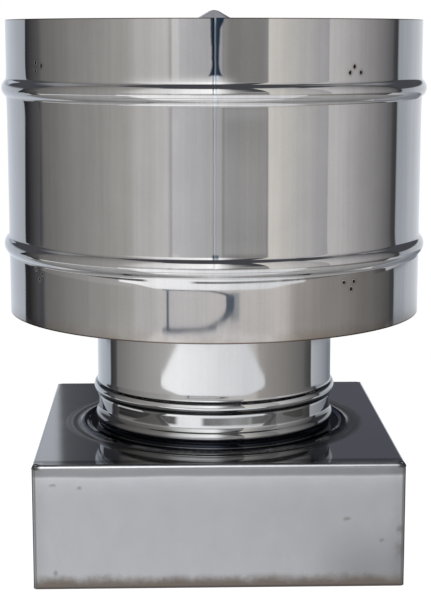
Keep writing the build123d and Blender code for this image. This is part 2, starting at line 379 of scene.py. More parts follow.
def turned_sheet_tree():
    """Turns a row of section points round the upright axis. The wall is then moved in or out a little:
    a crease along the weld seam, and the slow unevenness of rolled sheet."""
    tree, start, end = new_group("Turned sheet", "GeometryNodeTree", [
        ("Section", SHAPE, None),
        ("Steps", "NodeSocketInt", ROUND_STEPS),
        ("Closed", "NodeSocketBool", True),
        ("Seam turn", NUMBER, 0.0),
        ("Seam fineness", NUMBER, 1.0),
        ("Seam width", NUMBER, 1.2 * MM),
        ("Seam depth", NUMBER, 0.0),
        ("Seam from", NUMBER, 0.0),
        ("Unevenness", NUMBER, 0.0),
        ("Seed", NUMBER, 0.0),
        ("Finish", MATERIAL, None),
    ], [("Sheet", SHAPE)])
    count = tree.node("GeometryNodeAttributeDomainSize", Geometry=start.outputs["Section"])
    rows = tree.rule(count.outputs["Point Count"]) + tree.rule(start.outputs["Closed"])
    grid = tree.node("GeometryNodeMeshGrid")
    tree.join(grid.inputs["Vertices X"], tree.rule(start.outputs["Steps"]) + 1)
    tree.join(grid.inputs["Vertices Y"], rows)

    index = tree.rule(tree.node("GeometryNodeInputIndex").outputs[0])
    row = tree.math("MODULO", index, rows)
    column = tree.math("FLOOR", (index + 0.5) / rows)
    section_row = tree.math("MODULO", row, tree.rule(count.outputs["Point Count"]))
    place = tree.node("GeometryNodeInputPosition")
    sample = tree.node("GeometryNodeSampleIndex", {"data_type": "FLOAT_VECTOR"})
    tree.join(sample.inputs["Geometry"], start.outputs["Section"])
    tree.join(sample.inputs["Value"], place.outputs[0])
    tree.join(sample.inputs["Index"], section_row)
    point = tree.node("ShaderNodeSeparateXYZ", Vector=sample.outputs["Value"])
    radius = tree.rule(point.outputs["X"])
    height = tree.rule(point.outputs["Z"])

    side = column / tree.rule(start.outputs["Steps"]) * 2 - 1
    fine = tree.rule(start.outputs["Seam fineness"])
    from_seam = side * (fine + (1 - fine) * tree.size(side)) * pi
    seam_side = from_seam * radius / tree.rule(start.outputs["Seam width"])
    crease = tree.math("EXPONENT", -1 * seam_side * seam_side) * tree.rule(start.outputs["Seam depth"])
    crease = crease * tree.math("GREATER_THAN", height, tree.rule(start.outputs["Seam from"]))
    around = from_seam + tree.math("RADIANS", tree.rule(start.outputs["Seam turn"]))
    across = tree.math("SINE", around)
    forward = -1 * tree.math("COSINE", around)
    spot = tree.node("ShaderNodeCombineXYZ", X=across * radius, Y=forward * radius, Z=height * UNEVEN_STRETCH)
    uneven = tree.node("ShaderNodeTexNoise", {"noise_dimensions": "4D"}, Scale=UNEVEN_SCALE, Detail=1.0)
    tree.join(uneven.inputs["Vector"], spot.outputs[0])
    tree.join(uneven.inputs["W"], start.outputs["Seed"])
    swell = (tree.rule(uneven.outputs["Fac"]) - 0.5) * tree.rule(start.outputs["Unevenness"])
    moved = radius - crease + swell * tree.step(radius, 0.0, UNEVEN_FROM)
    shaped = tree.node("ShaderNodeCombineXYZ", X=across * moved, Y=forward * moved, Z=height)
    placed = tree.node("GeometryNodeSetPosition", Geometry=grid.outputs["Mesh"],
                       Position=shaped.outputs[0])
    merged = tree.node("GeometryNodeMergeByDistance", Geometry=placed.outputs[0], Distance=1e-6)
    smooth = tree.node("GeometryNodeSetShadeSmooth", Geometry=merged.outputs[0])
    real = tree.node("GeometryNodeRealizeInstances", Geometry=smooth.outputs[0])
    dressed = tree.node("GeometryNodeSetMaterial", Geometry=real.outputs[0],
                        Material=start.outputs["Finish"])
    tree.join(end.inputs["Sheet"], dressed.outputs[0])
    return tree.tree


def ring_tree():
    """Copies a piece round the upright axis."""
    tree, start, end = new_group("Ring of copies", "GeometryNodeTree", [
        ("Piece", SHAPE, None),
        ("Count", "NodeSocketInt", 4),
        ("Turn", NUMBER, 0.0),
        ("Finish", MATERIAL, None),
    ], [("Ring", SHAPE)])
    count = tree.rule(start.outputs["Count"])
    points = tree.node("GeometryNodePoints")
    tree.join(points.inputs["Count"], count)
    index = tree.rule(tree.node("GeometryNodeInputIndex").outputs[0])
    turn = tree.math("RADIANS", tree.rule(start.outputs["Turn"]) + index * 360 / count)
    upright = tree.node("ShaderNodeCombineXYZ", Z=turn)
    copies = tree.node("GeometryNodeInstanceOnPoints", Points=points.outputs[0],
                       Instance=start.outputs["Piece"])
    tree.join(copies.inputs["Rotation"], upright.outputs[0])
    real = tree.node("GeometryNodeRealizeInstances", Geometry=copies.outputs[0])
    dressed = tree.node("GeometryNodeSetMaterial", Geometry=real.outputs[0],
                        Material=start.outputs["Finish"])
    tree.join(end.inputs["Ring"], dressed.outputs[0])
    return tree.tree


def new_object(name, mesh):
    made = bpy.data.objects.new(name, mesh)
    bpy.context.scene.collection.objects.link(made)
    return made


def outward(mesh):
    """Faces of a closed mesh point outwards."""
    shape = bmesh.new()
    shape.from_mesh(mesh)
    bmesh.ops.recalc_face_normals(shape, faces=shape.faces)
    shape.to_mesh(mesh)
    shape.free()


def made_by(tree, start_mesh, name, settings):
    """Runs a shape tree on a starting mesh and keeps the result as a plain mesh."""
    piece = new_object(name, start_mesh)
    modifier = piece.modifiers.new("shape", "NODES")
    modifier.node_group = tree
    sockets = {item.name: item.identifier for item in tree.interface.items_tree
               if item.in_out == "INPUT"}
    for label, value in settings.items():
        modifier[sockets[label]] = value
    seen = piece.evaluated_get(bpy.context.evaluated_depsgraph_get())
    result = bpy.data.meshes.new_from_object(seen)
    piece.modifiers.clear()
    piece.data = result
    outward(result)
    result.set_sharp_from_angle(angle=SHARP_EDGE)
    return piece


def turned(name, section, finish, closed=True, **settings):
    """A turned piece from the outline of its sheet."""
    outline = bpy.data.meshes.new(name + "_section")
    outline.from_pydata([(x, 0, z) for x, z in section], [], [])
    values = {label.replace("_", " "): value for label, value in settings.items()}
    return made_by(TURNED_SHEET, outline, name, {"Closed": closed, "Finish": finish, **values})


def strip_section(points):
    """Outline of a bent strip whose face follows the points, with the wall on their left side."""
    runs = [((b[0] - a[0]), (b[1] - a[1])) for a, b in zip(points, points[1:])]
    lengths = [(x * x + z * z) ** 0.5 for x, z in runs]
    normals = [(-z / n, x / n) for (x, z), n in zip(runs, lengths)]
    face = [points[0]]
    back = [(points[0][0] + normals[0][0] * STRIP, points[0][1] + normals[0][1] * STRIP)]
    for corner, before, after in zip(points[1:-1], normals, normals[1:]):
        left_turn = before[0] * after[1] - before[1] * after[0] > 0
        side = 1 if left_turn else -1
        both = (before[0] + after[0], before[1] + after[1])
        scale = 2 / (both[0] ** 2 + both[1] ** 2)
        centre_off = side * (BRACKET_BEND_R + (STRIP if left_turn else 0))
        centre = (corner[0] + both[0] * scale * centre_off, corner[1] + both[1] * scale * centre_off)
        for step in range(BEND_STEPS + 1):
            t = step / BEND_STEPS
            mixed = (before[0] * (1 - t) + after[0] * t, before[1] * (1 - t) + after[1] * t)
            size = (mixed[0] ** 2 + mixed[1] ** 2) ** 0.5
            out = (mixed[0] / size, mixed[1] / size)
            face.append((centre[0] - out[0] * centre_off, centre[1] - out[1] * centre_off))
            back_off = centre_off - STRIP
            back.append((centre[0] - out[0] * back_off, centre[1] - out[1] * back_off))
    last = normals[-1]
    face.append(points[-1])
    back.append((points[-1][0] + last[0] * STRIP, points[-1][1] + last[1] * STRIP))
    return face, back


def bracket_mesh(name, points):
    """A bent strip at the front. Points are radius and height, and the tabs curve with their walls."""
    face, back = strip_section(points)
    across = [BRACKET_W * (i / BRACKET_STEPS - 0.5) for i in range(BRACKET_STEPS + 1)]
    shape = bmesh.new()
    layers = []
    for side in (face, back):
        layer = []
        for r, z in side:
            row = []
            for x in across:
                y = -(r * r - x * x) ** 0.5
                row.append(shape.verts.new((x, y, z)))
            layer.append(row)
        layers.append(layer)
    front, rear = layers
    last = len(front) - 1
    for i in range(last):
        for j in range(BRACKET_STEPS):
            shape.faces.new((front[i][j], front[i][j + 1], front[i + 1][j + 1], front[i + 1][j]))
            shape.faces.new((rear[i][j], rear[i + 1][j], rear[i + 1][j + 1], rear[i][j + 1]))
        for j in (0, BRACKET_STEPS):
            shape.faces.new((front[i][j], front[i + 1][j], rear[i + 1][j], rear[i][j]))
    for i in (0, last):
        for j in range(BRACKET_STEPS):
            shape.faces.new((front[i][j], front[i][j + 1], rear[i][j + 1], rear[i][j]))
    bmesh.ops.recalc_face_normals(shape, faces=shape.faces)
    edges = [e for e in shape.edges if e.calc_face_angle(0) > radians(50)]
    bmesh.ops.bevel(shape, geom=edges, offset=BRACKET_EDGE_R, segments=2, affect="EDGES", profile=0.5)
    mesh = bpy.data.meshes.new(name)
    shape.to_mesh(mesh)
    shape.free()
    mesh.shade_smooth()
    return mesh


# Finishes

# Spot welds of the brackets on the drum: degrees from the front, height in millimetres. The same ones
# come again on the back.
WELDS = [(35.95, 416.7), (34.5, 412.3), (38.2, 412.2), (-54.35, 419.1), (-51.7, 416.8), (-54.5, 413.0),
         (33.5, 249.1), (36.8, 248.9), (35.9, 243.2), (-56.0, 253.6), (-53.0, 250.6), (-54.3, 246.1)]
WELD_RIM = 0.06 * MM
WELD_PIT = 0.25 * MM
RIDGE = 0.1 * MM           # how high a fine ridge round the collar stands on the plate

# Colours of the marks on the steel, and of its painted highlights and shade
WHITE = (1, 1, 1, 1)
BLACK = (0, 0, 0, 1)
BORDER_BROWN = (0.40, 0.33, 0.27, 1)
EDGE_BROWN = (0.10, 0.06, 0.04, 1)
WELD_BROWN = (0.34, 0.29, 0.25, 1)
BURNT_BLUE = (0.034, 0.056, 0.088, 1)
SEAM_HIGHLIGHT = (0.75, 0.86, 0.95, 1)
SOOT = (0.02, 0.018, 0.017, 1)
CREASE_SHADE = (0.035, 0.035, 0.04, 1)
FOOT_BROWN = (0.165, 0.135, 0.112, 1)
SPECK_BROWN = (0.16, 0.14, 0.13, 1)
STAIN_BROWN = (0.13, 0.10, 0.08, 1)
RIM_BROWN = (0.09, 0.08, 0.075, 1)
CORNER_SHADE = (0.12, 0.12, 0.12, 1)
PLATE_CREASE_SHADE = (0.03, 0.03, 0.04, 1)
NOTCH_SHADE = (0.03, 0.03, 0.03, 1)
RING_NAVY = (0.03, 0.034, 0.05, 1)


def noise(tree, vector, scale, detail=2.0, roughness=0.5):
    """Smooth noise from 0 to 1, as a rule."""
    made = tree.node("ShaderNodeTexNoise", Scale=scale, Detail=detail, Roughness=roughness)
    tree.join(made.inputs["Vector"], vector)
    return tree.rule(made.outputs["Fac"])


def stretched(tree, vector, x, y, z):
    """The same vector, each axis scaled by its own factor."""
    made = tree.node("ShaderNodeVectorMath", {"operation": "MULTIPLY"})
    tree.join(made.inputs[0], vector)
    made.inputs[1].default_value = (x, y, z)
    return made.outputs[0]


def place_group():
    """Where a point lies: degrees from the front, height and radius in millimetres."""
    tree, _, end = new_group("Place on the cowl", "ShaderNodeTree", [], [
        ("Vector", VECTOR),
        ("Turn", NUMBER),
        ("Height", NUMBER),
        ("Radius", NUMBER),
    ])
    where = tree.node("ShaderNodeTexCoord")
    part = tree.node("ShaderNodeSeparateXYZ", Vector=where.outputs["Object"])
    x, y, z = tree.rules(part, "X", "Y", "Z")
    tree.join(end.inputs["Vector"], where.outputs["Object"])
    tree.join(end.inputs["Turn"], tree.math("ARCTAN2", x, -1 * y) * (180 / pi))
    tree.join(end.inputs["Height"], z * 1000)
    tree.join(end.inputs["Radius"], (x * x + y * y) ** 0.5 * 1000)
    return tree.tree


def rolled_group():
    """Rolled sheet: streaks that run up the wall, slow waves and wiped smudges. Depths are in metres."""
    tree, start, end = new_group("Rolled sheet", "ShaderNodeTree", [
        ("Vector", VECTOR, None),
        ("Streak depth", NUMBER, 1.5e-6),
        ("Wave depth", NUMBER, 2e-5),
        ("Smudge", NUMBER, 0.5),
        ("Contrast", NUMBER, 1.0),
        ("Stretch", NUMBER, 0.02),
    ], [("Tone", NUMBER), ("Roughness", NUMBER), ("Depth", NUMBER)])
    vector = start.outputs["Vector"]
    part = tree.node("ShaderNodeSeparateXYZ", Vector=vector)
    upright = tree.node("ShaderNodeCombineXYZ", X=part.outputs["X"], Y=part.outputs["Y"])
    tree.join(upright.inputs["Z"], tree.rule(part.outputs["Z"]) * tree.rule(start.outputs["Stretch"]))
    streak = noise(tree, upright.outputs[0], 330.0, 3.0, 0.6) - 0.5
    broad = noise(tree, upright.outputs[0], 60.0, 2.0) - 0.5
    wave = noise(tree, stretched(tree, vector, 1, 1, 0.25), 24.0, 1.0) - 0.5
    grain = noise(tree, vector, 1500.0, 2.0, 0.6) - 0.5
    smear = noise(tree, stretched(tree, vector, 1, 1, 0.7), 30.0, 5.0, 0.65) - 0.5
    smudge, contrast, streak_depth, wave_depth = tree.rules(
        start, "Smudge", "Contrast", "Streak depth", "Wave depth")
    stripes = (streak * 0.16 + broad * 0.26) * contrast
    tree.join(end.inputs["Tone"], 1 + stripes + grain * 0.16 + smear * smudge * 0.4)
    tree.join(end.inputs["Roughness"], tree.step(smear, -0.05, 0.35) * smudge * 0.10)
    streaks = streak * streak_depth * 2 + broad * streak_depth * 6
    tree.join(end.inputs["Depth"], streaks + wave * wave_depth * 2)
    return tree.tree


def spot_group():
    """A spot weld: a small burnt pit with a raised rim and a heat stain round it."""
    tree, start, end = new_group("Spot weld", "ShaderNodeTree", [
        ("Vector", VECTOR, None),
        ("Turn", NUMBER, 0.0),
        ("Height", NUMBER, 0.0),
        ("Spot turn", NUMBER, 0.0),
        ("Spot height", NUMBER, 0.0),
        ("Size", NUMBER, 1.35),
        ("Pit", NUMBER, 0.0),
        ("Stain", NUMBER, 0.0),
        ("Depth", NUMBER, 0.0),
    ], [("Pit", NUMBER), ("Stain", NUMBER), ("Depth", NUMBER)])
    turn, height, spot_turn, spot_height, size, pit, stain, depth = tree.rules(
        start, "Turn", "Height", "Spot turn", "Spot height", "Size", "Pit", "Stain", "Depth")
    side = tree.math("MODULO", turn - spot_turn + 450, 180) - 90
    across = side * (pi / 180 * DRUM_R / MM)
    up = height - spot_height
    ragged = (noise(tree, start.outputs["Vector"], 700.0, 2.0) - 0.5) * 1.1
    away = (across * across + up * up) ** 0.5 / size + ragged
    tree.join(end.inputs["Pit"], tree.larger(pit, tree.within(away, 0.8, 1.25)))
    tree.join(end.inputs["Stain"], tree.larger(stain, tree.within(away, 0.9, 3.2)))
    rim = tree.band(away, 1.3, 0.2, 0.18) * WELD_RIM
    tree.join(end.inputs["Depth"], depth + rim - tree.within(away, 0.1, 0.9) * WELD_PIT)
    return tree.tree


def seam_group():
    """The drum's weld seam: burnt blue above the upper bead with a thin painted highlight down its middle, a
    soft painted highlight between the beads with painted shade beside it, a painted glint just above the
    upper bead, and a burnt drop just above the lower bead. Distances are in millimetres."""
    tree, start, end = new_group("Weld seam", "ShaderNodeTree", [
        ("Vector", VECTOR, None),
        ("Turn", NUMBER, 0.0),
        ("Height", NUMBER, 0.0),
        ("Seam turn", NUMBER, SEAM_TURN),
        ("Bead top", NUMBER, (UPPER_BEAD_Z + DRUM_BEAD[1]) / MM),
        ("Rim", NUMBER, DRUM_TOP / MM),
        ("Low bead top", NUMBER, (LOWER_BEAD_Z + DRUM_BEAD[1]) / MM),
    ], [("Burn and shade", NUMBER), ("Line", NUMBER), ("Depth", NUMBER)])
    turn, height, seam_turn, bead_top, rim, drop_z = tree.rules(
        start, "Turn", "Height", "Seam turn", "Bead top", "Rim", "Low bead top")
    wander = (noise(tree, stretched(tree, start.outputs["Vector"], 0, 0, 1), 90.0, 2.0) - 0.5) * 1.1
    side = (turn - seam_turn) * (pi / 180 * DRUM_R / MM) + wander * 0.6
    away = tree.size(side)
    above = tree.step(height, bead_top + 3.5, bead_top + 5.5)
    between = (1 - above) * tree.step(height, drop_z - 5, drop_z + 2)

    foot_flare = tree.math("EXPONENT", (bead_top + 5 - height) / 3.5) * 2.4
    rim_flare = tree.step(height, rim - 9, rim - 1) * tree.step(side, 0.0, 2.0) * 2.6
    reach = 2.9 + foot_flare + rim_flare + wander + tree.step(height, bead_top + 12, rim) * 1.2
    burn = tree.within(away, reach - 1.2, reach + 0.6) * above
    # Painted shade beside the seam between the beads
    shadow = tree.band(side, 1.6, 0.6, 0.6) * between * 0.14
    drop = tree.within(away, 1.2, 3.4) * tree.band(height, drop_z, 1.8, 1.2) * 0.9
    tree.join(end.inputs["Burn and shade"], tree.larger(tree.larger(burn, shadow), drop))

    # Painted highlight: a thin line down the burnt blue above the upper bead, a soft line between the beads,
    # and a glint just above the upper bead
    thin_line = tree.within(away, 0.25, 1.0) * above * (0.38 + tree.step(height, rim - 8, rim) * 0.3)
    soft_line = tree.within(away, 0.3, 1.9) * between * 0.3
    seam_glint = tree.within(away, 1.0, 4.0) * tree.band(height, bead_top + 3.5, 1.2, 1.2) * 0.9
    tree.join(end.inputs["Line"], tree.larger(thin_line + soft_line, seam_glint))
    groove = tree.band(away, 1.1, 0.6, 0.5) * tree.step(height, drop_z - 5, drop_z + 2)
    tree.join(end.inputs["Depth"], groove * -SEAM_GROOVE)
    return tree.tree


PLACE = place_group()
ROLLED = rolled_group()
SPOT = spot_group()
SEAM = seam_group()


def metal(tree, colour, roughness, depth, edge=WHITE):
    """Closes a steel material: its colour, roughness, relief in metres, and tint at a low angle."""
    relief = tree.node("ShaderNodeBump", Strength=1.0, Distance=1.0)
    tree.join(relief.inputs["Height"], depth)
    shader = tree.node("ShaderNodeBsdfPrincipled", Metallic=1.0)
    tree.join(shader.inputs["Base Color"], colour)
    tree.join(shader.inputs["Roughness"], roughness)
    tree.join(shader.inputs["Normal"], relief.outputs[0])
    tree.join(shader.inputs["Specular Tint"], edge)
    out = tree.node("ShaderNodeOutputMaterial")
    tree.join(out.inputs["Surface"], shader.outputs[0])


def steel(name):
    """An empty material with the place on the cowl. Returns the material, its tree and the place."""
    material = bpy.data.materials.new(name)
    tree = emptied(material)
    return material, tree, tree.node("ShaderNodeGroup", {"node_tree": PLACE})


def toned(tree, colour, tone):
    """A colour times a tone."""
    made = tree.node("ShaderNodeVectorMath", {"operation": "SCALE"})
    tree.join(made.inputs[0], colour)
    tree.join(made.inputs["Scale"], tone)
    return made.outputs[0]


def rolled(tree, place, **settings):
    """The rolled sheet's tone, roughness and depth."""
    made = tree.node("ShaderNodeGroup", {"node_tree": ROLLED}, Vector=place.outputs["Vector"], **settings)
    return tree.rules(made, "Tone", "Roughness", "Depth")


def drum_steel():
    """The drum's sheet: spot welds, the weld seam with its painted highlight and shade, a brown lower border
    and dark cut edges.
    """
    material, tree, place = steel("drum_sheet")
    tone, rough, depth = rolled(tree, place, Streak_depth=1.2e-6, Wave_depth=2.2e-5)
    height = tree.rule(place.outputs["Height"])
    pit, stain, pits = 0.0, 0.0, 0.0
    for turn, weld_height in WELDS:
        spot = tree.node("ShaderNodeGroup", {"node_tree": SPOT}, Vector=place.outputs["Vector"],
                         Turn=place.outputs["Turn"], Height=height, Spot_turn=turn,
                         Spot_height=weld_height, Pit=pit, Stain=stain, Depth=pits)
        pit, stain, pits = [spot.outputs[label] for label in ("Pit", "Stain", "Depth")]
    seam = tree.node("ShaderNodeGroup", {"node_tree": SEAM}, Vector=place.outputs["Vector"],
                     Turn=place.outputs["Turn"], Height=height)
    # The burn mask also carries the painted shade beside the seam
    burn = tree.rule(seam.outputs["Burn and shade"])

    above_cut = height - DRUM_BOTTOM / MM
    below_rim = DRUM_TOP / MM - height
    patchy = noise(tree, place.outputs["Vector"], 45.0, 4.0, 0.6)
    border = tree.within(above_cut + patchy * 16, 4, 20) * 0.6
    cut_edge = tree.larger(tree.within(above_cut, 0.4, 1.5) * 0.9, tree.within(below_rim, 0.4, 1.0) * 0.85)
    colour = toned(tree, (0.63, 0.62, 0.61), tone)
    colour = tree.blend(border, colour, BORDER_BROWN)
    colour = tree.blend(cut_edge, colour, EDGE_BROWN)
    colour = tree.blend(tree.rule(stain) * 0.45, colour, WELD_BROWN)
    colour = tree.blend(burn, colour, BURNT_BLUE)
    # Painted highlight along the seam
    colour = tree.blend(seam.outputs["Line"], colour, SEAM_HIGHLIGHT)
    colour = tree.blend(pit, colour, SOOT)
    rough = 0.028 + rough + border * 0.1 + tree.rule(pit) * 0.3 + burn * 0.06
    metal(tree, colour, rough, depth + tree.rule(pits) + tree.rule(seam.outputs["Depth"]))
    return material


def plain_steel(name, colour, roughness, **settings):
    material, tree, place = steel(name)
    tone, rough, depth = rolled(tree, place, **settings)
    metal(tree, toned(tree, colour, tone), roughness + rough, depth)
    return material


def neck_steel():
    """The neck's and collar's sheet: painted shade in the creases of the lock bead, and painted shade on the
    foot bead and the collar wall, darker towards the sides.
    """
    material, tree, place = steel("neck_sheet")
    tone, rough, depth = rolled(tree, place, Streak_depth=1e-6, Wave_depth=1.2e-5, Smudge=0.4, Contrast=0.35)
    height = tree.rule(place.outputs["Height"])
    foot_top, neck_low = FOOT_SHADE_Z / MM, NECK_BOTTOM / MM
    # Painted shade on the foot bead and the collar wall below the neck, darker towards the sides
    sides = tree.step(tree.size(tree.rule(place.outputs["Turn"]) + 2), 8, 26)
    foot = tree.within(height, foot_top - 1.5, foot_top + 0.5)
    wall = tree.step(height, foot_top, foot_top + 1.5) * tree.within(height, neck_low - 0.5, neck_low - 0.1)
    foot_side_shade = foot * (sides * 0.4 + 0.1) + wall * sides * 0.3

    # Painted shade in the creases above and below the lock bead
    from_bead = height - LOCK_BEAD_Z / MM
    patchy = noise(tree, place.outputs["Vector"], 40.0, 3.0) * 0.8
    upper_crease_shade = tree.band(from_bead, 4.3, 0.5 + patchy, 0.45)
    lower_crease_shade = tree.band(from_bead, -4.7, 0.9 + patchy, 0.6) * 0.7
    colour = toned(tree, (0.62, 0.62, 0.615), tone * (1 - foot_side_shade))
    colour = tree.blend(tree.larger(upper_crease_shade, lower_crease_shade) * 0.85, colour, CREASE_SHADE)
    metal(tree, colour, 0.04 + rough, depth)
    return material


# Brown stains on the front skirt: sideways place, height, half width and half height, in millimetres
STAINS = [(131.5, 39.0, 1.5, 1.2), (148.0, 31.0, 4.0, 5.0), (146.5, 48.0, 2.6, 3.0), (103.0, 57.0, 2.2, 1.2),
          (-133.0, 86.5, 2.0, 1.0), (-112.0, 84.0, 1.6, 1.2), (-132.0, 13.5, 1.4, 1.6)]


def stain_group():
    """A ragged brown stain at one place on the front."""
    tree, start, end = new_group("Stain", "ShaderNodeTree", [
        ("Ragged", NUMBER, 0.0),
        ("Sideways", NUMBER, 0.0),
        ("Height", NUMBER, 0.0),
        ("Spot side", NUMBER, 0.0),
        ("Spot height", NUMBER, 0.0),
        ("Half width", NUMBER, 1.0),
        ("Half height", NUMBER, 1.0),
        ("Mask", NUMBER, 0.0),
    ], [("Mask", NUMBER)])
    ragged, sideways, height, spot_side, spot_height, wide, high, mask = tree.rules(
        start, "Ragged", "Sideways", "Height", "Spot side", "Spot height", "Half width", "Half height",
        "Mask")
    across, up = (sideways - spot_side) / wide, (height - spot_height) / high
    away = (across * across + up * up) ** 0.5 + ragged
    tree.join(end.inputs["Mask"], tree.larger(mask, tree.within(away, 0.0, 2.2)))
    return tree.tree


STAIN = stain_group()


def front_stains(tree, sideways, height, ragged):
    """Mask of all the stains on the front skirt."""
    mask = 0.0
    for spot_side, spot_height, wide, high in STAINS:
        spot = tree.node("ShaderNodeGroup", {"node_tree": STAIN}, Ragged=ragged, Sideways=sideways,
                         Height=height, Spot_side=spot_side, Spot_height=spot_height, Half_width=wide,
                         Half_height=high, Mask=mask)
        mask = spot.outputs["Mask"]
    return tree.rule(mask)


def base_steel():
    """The base's sheet. Distances are in millimetres, in from its faces, corners and plate."""
    material, tree, place = steel("base_sheet")
    tone, rough, depth = rolled(tree, place, Streak_depth=0.4e-6, Wave_depth=0.8e-5, Smudge=0.12,
                                Contrast=0.3, Stretch=0.7)
    vector = place.outputs["Vector"]
    part = tree.node("ShaderNodeSeparateXYZ", Vector=vector)
    x, y = [along_axis * 1000 for along_axis in tree.rules(part, "X", "Y")]
    height, radius = tree.rules(place, "Height", "Radius")
    half = BASE_HALF / MM
    from_face = half - tree.larger(tree.size(x), tree.size(y))
    from_corner = half - tree.smaller(tree.size(x), tree.size(y))
    from_front = half + y
    below_plate = BASE_TOP / MM - height
    mottle = noise(tree, stretched(tree, vector, 1, 1, 1.6), 14.0, 6.0, 0.6)
    patchy = noise(tree, vector, 60.0, 4.0, 0.65)
    fine = noise(tree, vector, 260.0, 3.0, 0.6)
    skirt = tree.within(from_face, 0.6, 1.5)
    plate = 1 - skirt

    # The fold, all painted light and shade: a painted highlight on the edge, a band of painted shade, and
    # painted light below it
    ragged = below_plate - (mottle - 0.5) * 3
    fold_highlight = tree.band(below_plate, 1.3, 1.1, 0.5) * tree.within(from_face, 2, 3)
    fold = tree.step(ragged, 1.5, 4.5) * tree.within(ragged, 8, 10.5)
    light_below_fold = tree.math("EXPONENT", (9 - below_plate) / 8) * tree.step(ragged, 9.5, 11)
    # Painted shade: the skirts are darker towards the right, low on the right, and at their ends
    lower_right = tree.step(x, 60, 115) * tree.within(height, 12, 62)
    shade = tree.step(x, -30, half) * 0.09 + lower_right * 0.25
    ends = tree.within(from_corner - (patchy - 0.5) * 12, 2, 16) * 0.10
    skirt_tone = 1 + fold_highlight * 1.3 - fold * 0.30 + light_below_fold * 0.36 - shade - ends
    skirt_tone = skirt_tone * (0.635 + mottle * 0.045)
    # The plate is toned darker than the skirts: painted shade
    tone = tone * (skirt * skirt_tone + plate * (0.42 + mottle * 0.05))

    # Marks on the skirts, with painted shade down the corner folds and in the corner notches
    foot = tree.within(height + patchy * 12, 9, 19) * skirt
    speck = tree.step(fine, 0.72, 0.76) * tree.step(patchy, 0.56, 0.66)
    stained = front_stains(tree, x, height, (fine - 0.5) * 3) * skirt * tree.within(y, -1, 0)
    rim = tree.within(height, 1.2, 2.4) * skirt
    # Painted shade down the corner folds
    corner = tree.within(from_corner, 2.4, 3.6) * skirt
    # Painted shade in the corner notches below the plate
    notch = tree.within(from_corner, 4, 8) * tree.within(below_plate, 2.5, 5)
    # On the plate: painted shade along a crease behind the front fold, a dark navy ring round the collar, and
    # painted shade in the reflections on the rib at the sides
    crease = tree.band(from_front - (mottle - 0.5) * 2, 9.5, 4.6, 1.8) * tree.step(from_corner, 5, 11)
    ring = tree.within(radius + (patchy - 0.5) * 6, 115, 121) * plate
    outer_rib = tree.band(radius, 124, 6, 3) * tree.step(tree.size(x), 60, 90) * plate
    ridge = tree.band(radius, 125, 1.5, 1.2) * plate * RIDGE

    colour = toned(tree, (0.66, 0.66, 0.67), tone)
    for mask, mark in ((foot * 0.95, FOOT_BROWN), (speck * 0.6, SPECK_BROWN), (stained * 0.5, STAIN_BROWN),
                       (rim * 0.8, RIM_BROWN), (corner * 0.7, CORNER_SHADE),
                       (crease * plate * 0.85, PLATE_CREASE_SHADE), (notch * 0.9, NOTCH_SHADE),
                       (ring * 0.95, RING_NAVY)):
        colour = tree.blend(mask, colour, mark)
    # Darker reflections on the ring, and painted shade in the reflections on the rib at the sides
    edge = tree.blend(tree.larger(ring * 0.55, outer_rib * 0.55), WHITE, BLACK)
    rough = 0.06 + skirt * 0.20 + rough + foot * 0.1 + outer_rib * 0.2
    metal(tree, colour, rough, depth + ridge, edge)
    return material


drum_finish = drum_steel()
neck_finish = neck_steel()
hat_finish = plain_steel("hat_sheet", (0.66, 0.66, 0.67), 0.3, Smudge=0.5)
strip_finish = plain_steel("strip", (0.5, 0.5, 0.5), 0.3, Smudge=0.5)
base_finish = base_steel()

TURNED_SHEET = turned_sheet_tree()
RING = ring_tree()

# The pieces

drum_beads = [(LOWER_BEAD_Z, DRUM_BEAD), (UPPER_BEAD_Z, DRUM_BEAD)]
drum = turned("drum", tube_section(DRUM_R, DRUM_BOTTOM, DRUM_TOP, drum_beads, DRUM_SWELL), drum_finish,
              Seam_turn=SEAM_TURN, Seam_depth=SEAM_CREASE, Seam_from=LOWER_BEAD_Z,
              Seam_fineness=SEAM_FINENESS, Unevenness=DRUM_UNEVENNESS, Seed=3.0)
neck_beads = [(LOCK_BEAD_Z, LOCK_BEAD)]
neck = turned("neck", tube_section(NECK_R, NECK_BOTTOM, NECK_TOP, neck_beads, LOCK_SWELL), neck_finish,
              Seam_turn=NECK_SEAM_TURN, Seam_depth=NECK_CREASE, Unevenness=NECK_UNEVENNESS, Seed=5.0)
collar = turned("collar", collar_section(), neck_finish, Seam_turn=COLLAR_SEAM_TURN, Seed=7.0)
upper_cone = turned("upper_cone", upper_cone_section(), hat_finish, closed=False,
                    Unevenness=HAT_UNEVENNESS, Seed=9.0)
lower_cone = turned("lower_cone", lower_cone_section(), hat_finish, closed=False,
                    Unevenness=HAT_UNEVENNESS, Seed=11.0)

drum_inner = DRUM_R - SHEET - WALL_FIT
hat_face_z = HAT_RIM_Z + HAT_CONE_R * tan(HAT_SLOPE) + WALL_FIT / cos(HAT_SLOPE)
meet_r = (hat_face_z - UPPER_LEG_Z) / tan(HAT_SLOPE)
upper_path = [(meet_r - CONE_TAB * cos(HAT_SLOPE), UPPER_LEG_Z + CONE_TAB * sin(HAT_SLOPE)),
              (meet_r, UPPER_LEG_Z), (drum_inner, UPPER_LEG_Z), (drum_inner, UPPER_LEG_Z + WALL_TAB)]
lower_path = [(drum_inner, LOWER_LEG_Z - WALL_TAB), (drum_inner, LOWER_LEG_Z),
              (NECK_R + WALL_FIT, LOWER_LEG_Z), (NECK_R + WALL_FIT, LOWER_LEG_Z - WALL_TAB)]
upper_brackets = made_by(RING, bracket_mesh("upper_strip", upper_path), "upper_brackets",
                         {"Count": 4, "Turn": BRACKET_TURN, "Finish": strip_finish})
